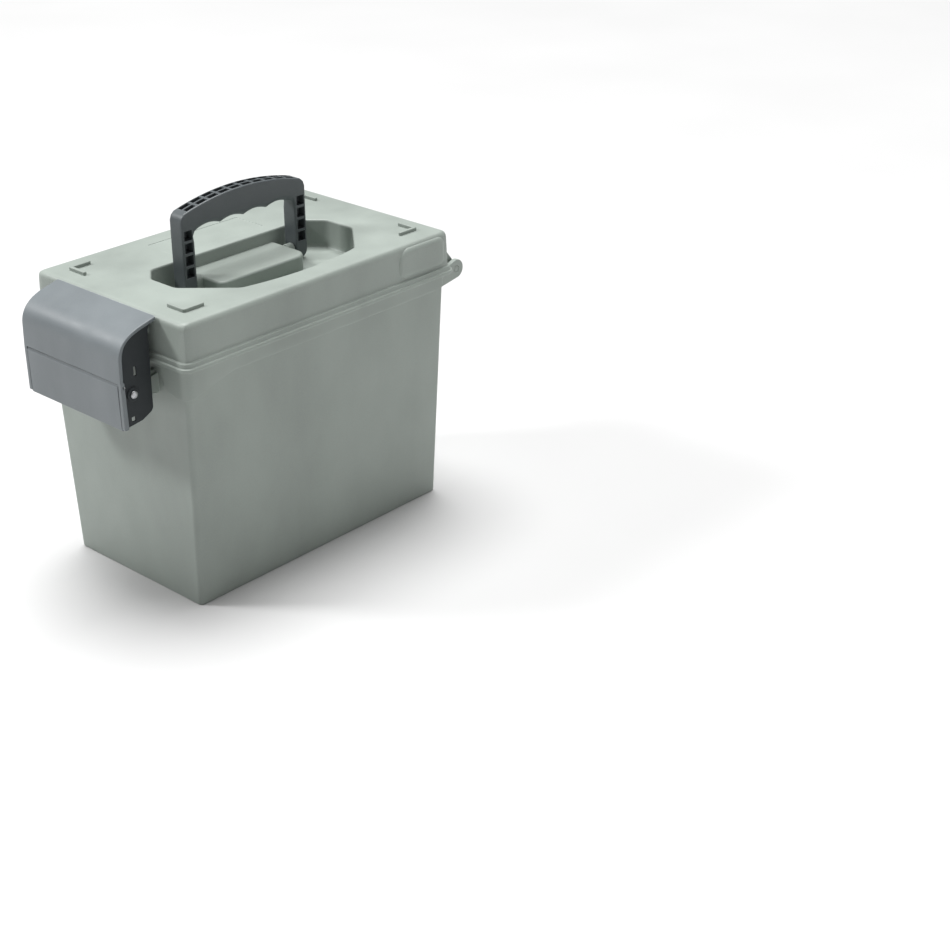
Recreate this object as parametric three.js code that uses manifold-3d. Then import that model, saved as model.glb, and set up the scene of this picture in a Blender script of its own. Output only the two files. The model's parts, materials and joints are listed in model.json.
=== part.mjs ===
// A hard dry box for shotgun shells: a tapered bucket with four 25-round trays, a lid with an O-ring,
// a two-piece latch on one end, a snap hinge on the other, and a carrying handle that folds into the lid.
// Millimetres, +Z up. The box stands on Z = 0 and its overall outline is centred on the origin:
// X runs from the latch end to the hinge end, Y across the box, and the handle folds towards -Y.
import * as THREE from 'three';
import { mergeVertices } from 'three/addons/utils/BufferGeometryUtils.js';
import Module from 'manifold-3d';

const wasm = await Module();
wasm.setup();

// ---------------------------------------------------------------- driving dimensions
const SHIFT_X = 6.35;            // moves the bucket's centre so that latch and hinge balance about X = 0
const CLEAR = 0.35;              // running gap between neighbouring pieces

const BASE = { x: 141, y: 79, r: 4 };          // bucket half sizes and corner radius at the floor
const NECK = { x: 145.5, y: 88.5, r: 4.5 };      // the same just under the rim
const RIM = { x: 147.5, y: 90.5, r: 7 };       // bead round the rim
const RIM_LOW = 209;
const RIM_TOP = 213;
const WALL = 3;
const FLOOR_LOW = 4.5;                         // the underside is recessed by this much
const FLOOR_TOP = 7.5;
const FOOT_WIDTH = 6;

const LID_TOP = 252;
const LID_LOW = 214;
const LID_WALL = 2.8;
const LID_FOOT = { x: 148.6, y: 92.6, r: 5 };
const LID_SHOULDER = { x: 147.9, y: 91.9, r: 5 };
const LID_LEVELS = [                            // the lid's outside, inset from its foot at each height
  { z: LID_LOW, inset: 0 }, { z: 246.5, inset: 0.7 }, { z: 250, inset: 1.9 }, { z: LID_TOP, inset: 4.9 },
];
const FLANGE = { x: 152.5, y: 96.5, r: 8 };
const FLANGE_STEP = { x: 150.8, y: 94.8, r: 7 };
const SKIRT_OUT = { x: 151, y: 95, r: 7.5 };
const SKIRT_IN = { x: 148.5, y: 92.5, r: 6 };
const SKIRT_LOW = 203;
const SKIRT_CORNER_LOW = 190;

const RECESS_FLOOR = 227;
const PLATFORM_TOP = 241;
const PLATFORM = { x: 49, low: -21, high: 24 };
const BOSS_R = 4.8;                            // handle pivot bosses, on the platform's ends

const HINGE = { x: 166, z: 210 };              // lid hinge axis, parallel to Y
const HINGE_EAR_R = 8.5;
const HINGE_EARS = [40, 80];                   // inner faces' distance from the middle, per side
const EAR_THICK = 4.5;
const HINGE_ARMS = [47.5, 73];
const ROD_R = 2.8;
const MOUTH_HALF = 2.2;                        // the lid arm's snap mouth is narrower than the rod

const LATCH = { x: -175.5, z: 196 };           // latch pivot axis, parallel to Y
const LATCH_EAR_R = 6.8;
const LATCH_PIN_R = 2.5;
const FLAP_PIN_R = 1.3;
const CREASE = { x: -184.2, z: 204 };          // flap pivot axis on the latch cover
const LATCH_HALF = 61;
const CHEEK_THICK = 3.5;
const LATCH_EAR = { low: 46, high: 51 };

const HANDLE = { half: 68, inner: 55.5, front: 0.5, back: 15.5, shoulder: 298.5, crown: 307 };
const HANDLE_PIVOT = { y: 6.5, z: 237.5 };
const HANDLE_PIN_R = 2.4;

const ROUND = { r: 10.2, length: 92.5 };       // shell body radius, and height above the tray's base plate
const PITCH = { x: 25.6, y: 28.5 };
const TRAY_UPPER = { base: 116, deck: 188, end: 138.5, y: 79.5 };
const TRAY_LOWER = { base: 8, deck: 84, end: 136, y: 74.5 };

// ---------------------------------------------------------------- solids
function solid(geometry) {
  const bare = geometry.clone();
  bare.deleteAttribute('normal');
  bare.deleteAttribute('uv');
  const merged = mergeVertices(bare, 1e-4);
  return new wasm.Manifold(new wasm.Mesh({
    numProp: 3,
    vertProperties: Float32Array.from(merged.attributes.position.array),
    triVerts: Uint32Array.from(merged.index.array),
  }));
}

function join(...pieces) {
  return pieces.reduce((sum, piece) => sum.add(piece));
}

function cut(base, ...tools) {
  return tools.reduce((rest, tool) => rest.subtract(tool), base);
}

function geometryOf(piece) {
  const mesh = piece.getMesh();
  const geometry = new THREE.BufferGeometry();
  geometry.setAttribute('position', new THREE.BufferAttribute(Float32Array.from(mesh.vertProperties), 3));
  geometry.setIndex(Array.from(mesh.triVerts));
  geometry.computeVertexNormals();
  return geometry;
}

// ---------------------------------------------------------------- shapes
function roundedRect({ x, y, r }) {
  const shape = new THREE.Shape();
  shape.moveTo(-x + r, -y);
  shape.lineTo(x - r, -y);
  shape.absarc(x - r, -y + r, r, -Math.PI / 2, 0);
  shape.lineTo(x, y - r);
  shape.absarc(x - r, y - r, r, 0, Math.PI / 2);
  shape.lineTo(-x + r, y);
  shape.absarc(-x + r, y - r, r, Math.PI / 2, Math.PI);
  shape.lineTo(-x, -y + r);
  shape.absarc(-x + r, -y + r, r, Math.PI, Math.PI * 1.5);
  return shape;
}

function polygon(points) {
  return new THREE.Shape(points.map(([a, b]) => new THREE.Vector2(a, b)));
}

const CORNER_STEPS = 5;

// A prism standing on the XY plane from z = low to z = high.
function prism(shape, low, high) {
  const geometry = new THREE.ExtrudeGeometry(shape, {
    depth: high - low, bevelEnabled: false, curveSegments: CORNER_STEPS,
  });
  geometry.translate(0, 0, low);
  return geometry;
}

// A rounded-rectangle prism whose half sizes change evenly from the low ring to the high ring.
function frustum(lowRing, highRing, low, high) {
  const geometry = prism(roundedRect(lowRing), low, high);
  const position = geometry.attributes.position;
  for (let i = 0; i < position.count; i += 1) {
    if (position.getZ(i) > (low + high) / 2) {
      position.setX(i, position.getX(i) * highRing.x / lowRing.x);
      position.setY(i, position.getY(i) * highRing.y / lowRing.y);
    }
  }
  return geometry;
}

// A rounded-rectangle tower with straight sides between levels, each a height and an inset from the ring.
function tower(ring, levels) {
  const steps = levels.length - 1;
  const geometry = new THREE.ExtrudeGeometry(roundedRect(ring), {
    depth: steps, steps, bevelEnabled: false, curveSegments: CORNER_STEPS,
  });
  const position = geometry.attributes.position;
  for (let i = 0; i < position.count; i += 1) {
    const { z, inset } = levels[Math.round(position.getZ(i))];
    position.setXYZ(i, position.getX(i) * (1 - inset / ring.x), position.getY(i) * (1 - inset / ring.y), z);
  }
  return geometry;
}

// A plate whose outline lies in the XZ plane, between y = low and y = high.
const XZ_BASIS = new THREE.Matrix4().makeBasis(
  new THREE.Vector3(1, 0, 0), new THREE.Vector3(0, 0, 1), new THREE.Vector3(0, -1, 0),
);

function plate(shape, low, high, steps = CORNER_STEPS) {
  const geometry = new THREE.ExtrudeGeometry(shape, {
    depth: high - low, bevelEnabled: false, curveSegments: steps,
  });
  geometry.applyMatrix4(XZ_BASIS);
  geometry.translate(0, high, 0);
  return geometry;
}

function box(x0, x1, y0, y1, z0, z1) {
  const geometry = new THREE.BoxGeometry(x1 - x0, y1 - y0, z1 - z0);
  geometry.translate((x0 + x1) / 2, (y0 + y1) / 2, (z0 + z1) / 2);
  return geometry;
}

const ROD_SIDES = 16;

// A round bar along Y between low and high, centred on (x, z).
function rodY(x, z, radius, low, high, sides = ROD_SIDES) {
  const geometry = new THREE.CylinderGeometry(radius, radius, high - low, sides);
  geometry.translate(x, (low + high) / 2, z);
  return geometry;
}

// A round bar along X between low and high, centred on (y, z).
function rodX(y, z, radius, low, high, sides = ROD_SIDES) {
  const geometry = new THREE.CylinderGeometry(radius, radius, high - low, sides);
  geometry.rotateZ(Math.PI / 2);
  geometry.translate((low + high) / 2, y, z);
  return geometry;
}

function grown(ring, by) {
  return { x: ring.x + by, y: ring.y + by, r: Math.max(ring.r + by, 1) };
}

// Runs a maker for both sides of the box: side is -1 or 1, and spans mirror with it.
function span(side, low, high) {
  return side < 0 ? [-high, -low] : [low, high];
}

// ---------------------------------------------------------------- bucket
function latchEar(side) {
  const [low, high] = span(side, LATCH_EAR.low, LATCH_EAR.high);
  const strut = polygon([
    [LATCH.x, LATCH.z - LATCH_EAR_R], [-144, 184], [-144, 205], [LATCH.x, LATCH.z + LATCH_EAR_R],
  ]);
  const tip = rodY(LATCH.x, LATCH.z, LATCH_EAR_R, low, high, 20);
  const ear = join(solid(plate(strut, low, high)), solid(tip));
  return cut(ear, solid(rodY(LATCH.x, LATCH.z, LATCH_PIN_R + CLEAR, low - 1, high + 1)));
}

function hingeEar(side, from) {
  const [low, high] = span(side, from, from + EAR_THICK);
  const strut = polygon([[144, 198], [HINGE.x + 3, 202.1], [HINGE.x, 212], [144, 212]]);
  const ear = join(solid(plate(strut, low, high)), solid(rodY(HINGE.x, HINGE.z, HINGE_EAR_R, low, high, 20)));
  return cut(ear, solid(rodY(HINGE.x, HINGE.z, ROD_R + CLEAR, low - 1, high + 1)));
}

function bucketShape() {
  let body = join(
    solid(frustum(BASE, NECK, 0, RIM_LOW + 1)),
    solid(prism(roundedRect(RIM), RIM_LOW, RIM_TOP)),
  );
  const cavity = frustum(grown(BASE, -WALL), grown(NECK, -WALL), FLOOR_TOP, RIM_TOP + 1);
  const foot = prism(roundedRect(grown(BASE, -FOOT_WIDTH)), -1, FLOOR_LOW);
  body = cut(body, solid(cavity), solid(foot));
  for (const side of [-1, 1]) {
    body = join(body, latchEar(side));
    for (const from of HINGE_EARS) {
      body = join(body, hingeEar(side, from));
    }
  }
  return body;
}

// ---------------------------------------------------------------- lid
// The handle's recess: a flat chord beside the handle pivot, angled ends, and a shallow arc towards -Y.
function recessOutline(inset) {
  const shape = new THREE.Shape();
  shape.moveTo(84 - inset, 23 - inset);
  shape.lineTo(-84 + inset, 23 - inset);
  shape.lineTo(-98 + inset, 6 - inset / 2);
  shape.lineTo(-98 + inset, -24 + inset / 2);
  shape.lineTo(-63 + inset / 2, -62 + inset);
  shape.quadraticCurveTo(0, -76 + inset, 63 - inset / 2, -62 + inset);
  shape.lineTo(98 - inset, -24 + inset / 2);
  shape.lineTo(98 - inset, 6 - inset / 2);
  shape.closePath();
  return shape;
}

function lidArm(side, from) {
  const [low, high] = span(side, from, from + EAR_THICK);
  const outline = polygon([
    [146, 224], [152, 224], [161, 212.5], [163, 206], [169, 206], [171.6, 212], [161, 224], [160, 238],
    [156.5, 241.5], [146, 243],
  ]);
  const arm = join(solid(plate(outline, low, high)), solid(rodY(HINGE.x, HINGE.z, 6, low, high, 20)));
  const mouth = box(
    HINGE.x - MOUTH_HALF, HINGE.x + MOUTH_HALF, low - 1, high + 1, HINGE.z - 10, HINGE.z,
  );
  return cut(
    arm,
    solid(rodY(HINGE.x, HINGE.z, ROD_R + CLEAR, low - 1, high + 1)),
    solid(mouth),
  );
}

// A low L-shaped lug that keeps a stacked box from sliding.
function stackingLug(sx, sy) {
  const corner = { x: 130, y: 72 };
  const reach = 21;
  const width = 3.2;
  const points = [
    [corner.x, corner.y], [corner.x - reach, corner.y], [corner.x - reach, corner.y - width],
    [corner.x - width, corner.y - width], [corner.x - width, corner.y - reach], [corner.x, corner.y - reach],
  ].map(([x, y]) => [x * sx, y * sy]);
  return solid(prism(polygon(sx * sy > 0 ? points : points.reverse()), LID_TOP - 1, LID_TOP + 3));
}

function skirtShape() {
  const ring = cut(
    solid(prism(roundedRect(SKIRT_OUT), SKIRT_CORNER_LOW, LID_LOW + 1)),
    solid(prism(roundedRect(SKIRT_IN), SKIRT_CORNER_LOW - 1, LID_LOW + 2)),
  );
  const under = polygon([
    [-104, SKIRT_LOW], [-150, SKIRT_CORNER_LOW - 0.5], [-150, 180], [160, 180], [160, SKIRT_LOW],
  ]);
  return cut(
    ring,
    solid(plate(under, -100, 100)),
    solid(box(-160, -100, -LATCH_HALF - 2.5, LATCH_HALF + 2.5, 180, LID_LOW)),
    solid(box(137, 160, -100, 100, 180, LID_LOW)),
  );
}

function handleBoss(side) {
  const [low, high] = span(side, PLATFORM.x - 1, HANDLE.inner - 0.6);
  const { y, z } = HANDLE_PIVOT;
  const [boreLow, boreHigh] = span(side, PLATFORM.x + 0.2, HANDLE.inner);
  const block = join(
    solid(box(low, high, y - BOSS_R, y + BOSS_R, RECESS_FLOOR - 1, z)),
    solid(rodX(y, z, BOSS_R, low, high, 20)),
  );
  return cut(block, solid(rodX(y, z, HANDLE_PIN_R + CLEAR, boreLow, boreHigh)));
}

function lidShape() {
  const outer = join(
    solid(tower(LID_FOOT, LID_LEVELS)),
    solid(prism(roundedRect(FLANGE), LID_LOW, 217.3)),
    solid(prism(roundedRect(FLANGE_STEP), 217.3, 221)),
  );
  const hollow = frustum(
    grown(LID_FOOT, -LID_WALL), grown(LID_SHOULDER, -LID_WALL), LID_LOW - 1, LID_TOP - LID_WALL,
  );
  const ledge = cut(
    solid(prism(roundedRect(grown(LID_FOOT, -1)), 216.9, 220)),
    solid(prism(roundedRect(grown(LID_FOOT, -9.5)), 216, 221)),
  );
  let lid = join(cut(outer, solid(hollow)), ledge, skirtShape());
  const pan = solid(prism(recessOutline(-LID_WALL), RECESS_FLOOR - LID_WALL, LID_TOP - 1));
  lid = join(lid, pan);
  const well = solid(prism(recessOutline(0), RECESS_FLOOR, LID_TOP + 1));
  const platform = box(-PLATFORM.x, PLATFORM.x, PLATFORM.low, PLATFORM.high, RECESS_FLOOR - 1, PLATFORM_TOP);
  const core = box(
    -PLATFORM.x + LID_WALL, PLATFORM.x - LID_WALL, PLATFORM.low + LID_WALL, PLATFORM.high - 2,
    RECESS_FLOOR - LID_WALL - 1, PLATFORM_TOP - LID_WALL,
  );
  lid = cut(join(cut(lid, well), solid(platform)), solid(core));
  const labelPanel = prism(roundedRect({ x: 50, y: 18, r: 2 }), LID_TOP - 0.9, LID_TOP + 1);
  labelPanel.translate(0, 53, 0);
  const shoulderPads = [-1, 1].map((side) => {
    const [low, high] = span(side, 90.5, 93.6);
    const pad = polygon([[86, 223], [141, 223], [141, 248], [106, 248], [93, 242], [86, 230]]);
    return solid(plate(pad, low, high));
  });
  const catchRidge = polygon([[-146.5, 234], [-146.5, 240.5], [-152.3, 240.5], [-152.3, 238.5]].reverse());
  lid = join(cut(lid, solid(labelPanel)), ...shoulderPads, solid(plate(catchRidge, -50, 50)));
  for (const side of [-1, 1]) {
    lid = join(lid, handleBoss(side), stackingLug(side, -1), stackingLug(side, 1));
    for (const from of HINGE_ARMS) {
      lid = join(lid, lidArm(side, from));
    }
  }
  return lid;
}

function sealShape() {
  return cut(
    solid(prism(roundedRect({ x: 145.3, y: 88.3, r: 6.8 }), RIM_TOP + 0.3, 216.6)),
    solid(prism(roundedRect({ x: 142.5, y: 85.5, r: 4 }), RIM_TOP, 217)),
  );
}

// ---------------------------------------------------------------- latch
const COVER_LOW = CREASE.z + 3.5;

// The outer curve of the latch, from the lid's top edge down to the crease, at a depth inside the skin.
function coverCurve(depth) {
  const curve = new THREE.Path();
  curve.moveTo(-148.8, 252.3 - depth);
  curve.lineTo(-164, 248.6 - depth);
  curve.bezierCurveTo(-176 + depth * 0.4, 245.4 - depth, -186 + depth, 239, -186.6 + depth, 226);
  curve.lineTo(-187.2 + depth, COVER_LOW);
  return curve.getPoints(6);
}

function coverSkin() {
  const outside = coverCurve(0);
  const inside = coverCurve(3);
  const shape = new THREE.Shape([...outside, ...inside.reverse()]);
  return solid(plate(shape, -LATCH_HALF, LATCH_HALF));
}

function cheek(side) {
  const [low, high] = span(side, LATCH_HALF - CHEEK_THICK, LATCH_HALF);
  const front = coverCurve(0);
  const back = [
    [-187.2, CREASE.z], [-186.8, 168.6], [-185.4, 167], [-167.6, 171], [-161.4, 173.4], [-156.8, 177.6],
    [-155.5, 181], [-155.5, 243], [-152.6, 248], [-149, 249.4],
  ];
  const shape = new THREE.Shape([...front, ...back.map(([x, z]) => new THREE.Vector2(x, z))]);
  const slot = polygon([[-172.5, 209.5], [-169.5, 209.5], [-169.5, 217.5], [-172.5, 217.5]]);
  const snapHole = polygon([[-178, 173], [-174, 173], [-174, 177], [-178, 177]]);
  return cut(
    solid(plate(shape, low, high)),
    solid(rodY(LATCH.x, LATCH.z, LATCH_PIN_R + CLEAR, low - 1, high + 1)),
    solid(rodY(CREASE.x, CREASE.z, FLAP_PIN_R + CLEAR, low - 1, high + 1, 12)),
    solid(plate(slot, low - 1, high + 1)),
    solid(plate(snapHole, low - 1, high + 1)),
  );
}

function latchCoverShape() {
  const hook = polygon([[-154.5, 241.2], [-149.4, 241.2], [-149.4, 249], [-154.5, 249.4]]);
  return join(coverSkin(), cheek(-1), cheek(1), solid(plate(hook, -50, 50)));
}

const FLAP_HALF = LATCH_HALF - CHEEK_THICK - 0.6;

function latchFlapShape() {
  const face = polygon([
    [-187.2, CREASE.z], [-186.6, 168.6], [-185.2, 167.2], [-181.5, 167.2], [-181.5, 169.8], [-183.7, 171.5],
    [-184.2, CREASE.z],
  ]);
  let flap = join(
    solid(plate(face, -FLAP_HALF, FLAP_HALF)),
    solid(rodY(CREASE.x, CREASE.z, 3, -FLAP_HALF, FLAP_HALF)),
  );
  for (const side of [-1, 1]) {
    const [low, high] = span(side, FLAP_HALF - 3, FLAP_HALF);
    const endWall = polygon([[-184.5, 172], [-174, 172], [-174, 184], [-184.5, 192]]);
    const [boreLow, boreHigh] = span(side, FLAP_HALF - 9, FLAP_HALF + 1);
    flap = join(flap, solid(plate(endWall, low, high)));
    flap = cut(flap, solid(rodY(CREASE.x, CREASE.z, FLAP_PIN_R + CLEAR, boreLow, boreHigh, 12)));
  }
  return flap;
}

function latchPinShape(side) {
  const [low, high] = span(side, LATCH_EAR.low - 1, LATCH_HALF + 0.5);
  const [headLow, headHigh] = span(side, LATCH_HALF + 0.4, LATCH_HALF + 1.8);
  return join(
    solid(rodY(LATCH.x, LATCH.z, LATCH_PIN_R, low, high)),
    solid(rodY(LATCH.x, LATCH.z, LATCH_PIN_R + 1.1, headLow, headHigh)),
  );
}

// ---------------------------------------------------------------- handle
function handleShape() {
  const { half, inner, front, back, shoulder, crown } = HANDLE;
  const foot = HANDLE_PIVOT.z - 9;
  const shape = new THREE.Shape();
  shape.moveTo(-half, foot);
  shape.lineTo(-inner, foot);
  shape.lineTo(-inner, 277);
  shape.quadraticCurveTo(-inner, 282, -inner + 5, 282);
  const scallops = 4;
  const pitch = (2 * inner - 10) / scallops;
  for (let i = 0; i < scallops; i += 1) {
    const from = -inner + 5 + i * pitch;
    shape.quadraticCurveTo(from + pitch / 2, 286.6, from + pitch, 282);
  }
  shape.quadraticCurveTo(inner, 282, inner, 277);
  shape.lineTo(inner, foot);
  shape.lineTo(half, foot);
  shape.lineTo(half, shoulder - 7);
  shape.lineTo(half - 5, shoulder);
  shape.quadraticCurveTo(0, 2 * crown - shoulder, -half + 5, shoulder);
  shape.lineTo(-half, shoulder - 7);
  shape.closePath();
  const bail = solid(plate(shape, front, back, 6));
  const footRound = join(
    solid(box(-80, 80, -10, 30, HANDLE_PIVOT.z, 320)),
    solid(rodX(HANDLE_PIVOT.y, HANDLE_PIVOT.z, 9, -80, 80, 28)),
  );
  const pockets = [];
  const crownPockets = 10;
  const crownPitch = 12.2;
  const crownPocketHalf = 4.9;
  for (let i = 0; i < crownPockets; i += 1) {
    const x = (i - (crownPockets - 1) / 2) * crownPitch;
    const rise = (crown - shoulder) * (1 - (x / (half - 5)) ** 2);
    const floor = shoulder + rise - 7;
    pockets.push(solid(box(x - crownPocketHalf, x + crownPocketHalf, front + 1.8, front + 6.7, floor, 320)));
    pockets.push(solid(box(x - crownPocketHalf, x + crownPocketHalf, back - 6.7, back - 1.8, floor, 320)));
  }
  const legPockets = 4;
  const legPitch = 10.6;
  for (const side of [-1, 1]) {
    const [low, high] = span(side, inner + 2.2, half - 2);
    for (let i = 0; i < legPockets; i += 1) {
      const z = HANDLE_PIVOT.z + 6.3 + i * legPitch;
      pockets.push(solid(box(low, high, front - 1, front + 7, z, z + 8.4)));
    }
    const [boreLow, boreHigh] = span(side, inner - 1, half - 1.6);
    pockets.push(solid(rodX(HANDLE_PIVOT.y, HANDLE_PIVOT.z, HANDLE_PIN_R + CLEAR, boreLow, boreHigh)));
  }
  return cut(bail.intersect(footRound), ...pockets);
}

function handlePinShape(side) {
  const [low, high] = span(side, PLATFORM.x + 0.6, HANDLE.half - 2);
  return solid(rodX(HANDLE_PIVOT.y, HANDLE_PIVOT.z, HANDLE_PIN_R, low, high));
}

// ---------------------------------------------------------------- trays and rounds
const ROUND_SIDES = 8;

function eachRound(end, side, make) {
  const middle = side * (1 + end) / 2;
  const pieces = [];
  for (let i = -2; i <= 2; i += 1) {
    for (let j = -2; j <= 2; j += 1) {
      pieces.push(make(middle + i * PITCH.x, j * PITCH.y));
    }
  }
  return pieces;
}

function post(radius, x, y, low, high) {
  const geometry = new THREE.CylinderGeometry(radius, radius, high - low, ROUND_SIDES);
  geometry.rotateX(Math.PI / 2);
  geometry.translate(x, y, (low + high) / 2);
  return solid(geometry);
}

function trayShape({ base, deck, end, y }, side) {
  const [low, high] = span(side, 1, end);
  const holes = eachRound(end, side, (x, cy) => post(ROUND.r + 1.3, x, cy, deck - 5, deck + 1));
  return cut(
    solid(box(low, high, -y, y, base, deck)),
    solid(box(low + 2.4, high - 2.4, -y + 2.4, y - 2.4, base + 3, deck - 3)),
    ...holes,
  );
}

function roundsShape({ base, end }, side) {
  const foot = base + 3.5;
  const [low, high] = span(side, 8, end - 7);
  const web = solid(box(low, high, -64, 64, foot, foot + 1.5));
  return join(web, ...eachRound(end, side, (x, cy) => post(ROUND.r, x, cy, foot, foot + ROUND.length)));
}

// ---------------------------------------------------------------- materials and assembly
const SAGE = { color: 0x8d9a8c, roughness: 0.5, metalness: 0 };
const SLATE = { color: 0x6d717c, roughness: 0.5, metalness: 0 };
const CHARCOAL = { color: 0x4f555b, roughness: 0.5, metalness: 0 };
const TEAL = { color: 0x0d4440, roughness: 0.45, metalness: 0 };
const BRASS = { color: 0xc9a85c, roughness: 0.35, metalness: 0.9 };
const RUBBER = { color: 0x1b1b1c, roughness: 0.8, metalness: 0 };
const STEEL = { color: 0xb4b7ba, roughness: 0.3, metalness: 1 };

const assembly = new THREE.Group();
assembly.position.x = SHIFT_X;

function add(name, piece, look) {
  const mesh = new THREE.Mesh(geometryOf(piece), new THREE.MeshStandardMaterial(look));
  mesh.name = name;
  assembly.add(mesh);
}

const SIDE_NAMES = [[-1, 'near'], [1, 'far']];
const END_NAMES = [[-1, 'latch_end'], [1, 'hinge_end']];

add('bucket', bucketShape(), SAGE);
add('lid', lidShape(), SAGE);
add('lid_seal', sealShape(), RUBBER);
add('latch_cover', latchCoverShape(), SLATE);
add('latch_flap', latchFlapShape(), SLATE);
add('handle', handleShape(), CHARCOAL);
for (const [side, name] of SIDE_NAMES) {
  const [rodLow, rodHigh] = span(side, HINGE_EARS[0], HINGE_EARS[1] + EAR_THICK);
  const [pinLow, pinHigh] = span(side, FLAP_HALF - 8, LATCH_HALF);
  add(`hinge_rod_${name}`, solid(rodY(HINGE.x, HINGE.z, ROD_R, rodLow, rodHigh)), SAGE);
  add(`latch_pin_${name}`, latchPinShape(side), STEEL);
  add(`flap_pin_${name}`, solid(rodY(CREASE.x, CREASE.z, FLAP_PIN_R, pinLow, pinHigh, 12)), STEEL);
}
for (const [side, name] of END_NAMES) {
  add(`handle_pin_${name}`, handlePinShape(side), STEEL);
  add(`upper_tray_${name}`, trayShape(TRAY_UPPER, side), TEAL);
  add(`upper_rounds_${name}`, roundsShape(TRAY_UPPER, side), BRASS);
  add(`lower_tray_${name}`, trayShape(TRAY_LOWER, side), TEAL);
  add(`lower_rounds_${name}`, roundsShape(TRAY_LOWER, side), BRASS);
}

const root = new THREE.Group();
root.add(assembly);

export default root;
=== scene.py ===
import json
import math

import bmesh
import bpy
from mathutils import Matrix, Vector


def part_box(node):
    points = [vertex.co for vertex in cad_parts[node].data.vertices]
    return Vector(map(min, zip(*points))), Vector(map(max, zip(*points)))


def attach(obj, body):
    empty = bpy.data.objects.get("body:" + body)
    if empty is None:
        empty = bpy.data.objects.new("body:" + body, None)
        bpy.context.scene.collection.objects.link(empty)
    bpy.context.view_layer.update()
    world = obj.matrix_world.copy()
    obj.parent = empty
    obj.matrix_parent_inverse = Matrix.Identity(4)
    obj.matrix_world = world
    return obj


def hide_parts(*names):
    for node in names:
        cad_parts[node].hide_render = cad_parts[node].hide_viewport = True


# A hard dry box for shotgun shells. Shapes are worked out in millimetres with X measured from the
# bucket's middle, and are placed in the frame, in metres, by place().
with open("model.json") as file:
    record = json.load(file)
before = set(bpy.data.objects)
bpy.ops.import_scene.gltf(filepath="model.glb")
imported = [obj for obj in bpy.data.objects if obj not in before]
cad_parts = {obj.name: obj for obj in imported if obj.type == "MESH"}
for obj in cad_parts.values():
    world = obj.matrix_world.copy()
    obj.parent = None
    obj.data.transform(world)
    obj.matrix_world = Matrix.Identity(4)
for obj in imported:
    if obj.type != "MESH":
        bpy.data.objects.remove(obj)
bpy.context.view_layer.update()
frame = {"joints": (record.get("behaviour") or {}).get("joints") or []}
MM = 0.001


# ---------------------------------------------------------------- places from the frame
def middle_of(node):
    low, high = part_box(node)
    return (low + high) / 2 / MM


def joint_axis(name):
    for joint in frame["joints"]:
        if joint["name"] == name:
            x, y, z = joint["pos_m"]
            return Vector((x / MM - MIDDLE_X, y / MM, z / MM))
    raise KeyError(name)


MIDDLE_X = middle_of("lid_seal").x
HINGE = joint_axis("lid_hinge")
LATCH = joint_axis("latch_swing")
CREASE = joint_axis("flap_lift")
PIVOT = joint_axis("handle_fold")

GAP = 0.3           # between solids that touch
LUG_HEIGHT = 3
SEAL_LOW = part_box("lid_seal")[0].z / MM
RIM_TOP = SEAL_LOW - GAP
LUG_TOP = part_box("lid")[1].z / MM
LID_TOP = LUG_TOP - LUG_HEIGHT
FLANGE_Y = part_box("lid")[1].y / MM
FLANGE_LOW = RIM_TOP + 1
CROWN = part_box("handle")[1].z / MM
HANDLE_HALF = (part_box("handle")[1].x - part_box("handle")[0].x) / MM / 2
HANDLE_INNER = HANDLE_HALF - 12.5
HANDLE_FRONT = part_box("handle")[0].y / MM
HANDLE_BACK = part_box("handle")[1].y / MM
LATCH_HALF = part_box("latch_cover")[1].y / MM
FLAP_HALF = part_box("latch_flap")[1].y / MM

# half sizes along X and Y and corner radius, in the order they stack
BASE = (141, 79, 4.2)
NECK = (145.5, 88.5, 4.7)
RIM = (147.5, 90.5, 7)
LID_FOOT = (148.6, 92.6, 5.2)
LID_SHOULDER = (147.9, 91.9, 5.4)
FLANGE = (152.5, FLANGE_Y, 8)
FLANGE_STEP = (150.8, FLANGE_Y - 1.7, 7)
WALL = 3
LID_WALL = 2.8
FOOT_WIDTH = 6
NECK_TOP = 209              # where the bucket's wall meets its rim
FLANGE_TOP = 217.2
STEP_TOP = 221              # where the stepped flange meets the lid's side
LEDGE_LOW = 216.9           # the ledge inside the lid that the seal sits under
LEDGE_WIDTH = 9.5
SKIRT_LOW = 203
SKIRT_CORNER_DROP = 13
RECESS_FLOOR = 227
PLATFORM_HALF = 49
PLATFORM_TOP = 241
LATCH_EAR = (46, 51)        # both faces of an ear, along Y
EAR_THICK = 4.5
HINGE_EARS = (40, 80)       # the inner faces of the ears on each side, along Y
HINGE_ARMS = (47.5, 73)     # and of the lid's arms between them
HINGE_ROD_R = 2.8
CATCH_HALF = 50             # the catch ridge's half length, and the latch hook's
HANDLE_PIN_HOLE_R = 2.75


def place(x, y, z):
    return ((x + MIDDLE_X) * MM, y * MM, z * MM)


# ---------------------------------------------------------------- outlines
def rounded(corners, steps=6):
    """A closed outline from corners (u, v, radius), each turned into an arc."""
    outline = []
    count = len(corners)
    for i, (u, v, radius) in enumerate(corners):
        point = Vector((u, v))
        before = Vector(corners[i - 1][:2]) - point
        after = Vector(corners[(i + 1) % count][:2]) - point
        half = before.angle(after) / 2
        if radius <= 0 or half > 1.55:
            outline.append(tuple(point))
            continue
        reach = min(radius / math.tan(half), 0.49 * min(before.length, after.length))
        radius = reach * math.tan(half)
        before.normalize()
        after.normalize()
        centre = point + (before + after).normalized() * (radius / math.sin(half))
        first = point + before * reach - centre
        turn = first.angle_signed(point + after * reach - centre)
        for k in range(steps + 1):
            spin = -turn * k / steps
            c, s = math.cos(spin), math.sin(spin)
            outline.append((centre.x + first.x * c - first.y * s, centre.y + first.x * s + first.y * c))
    return outline


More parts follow.
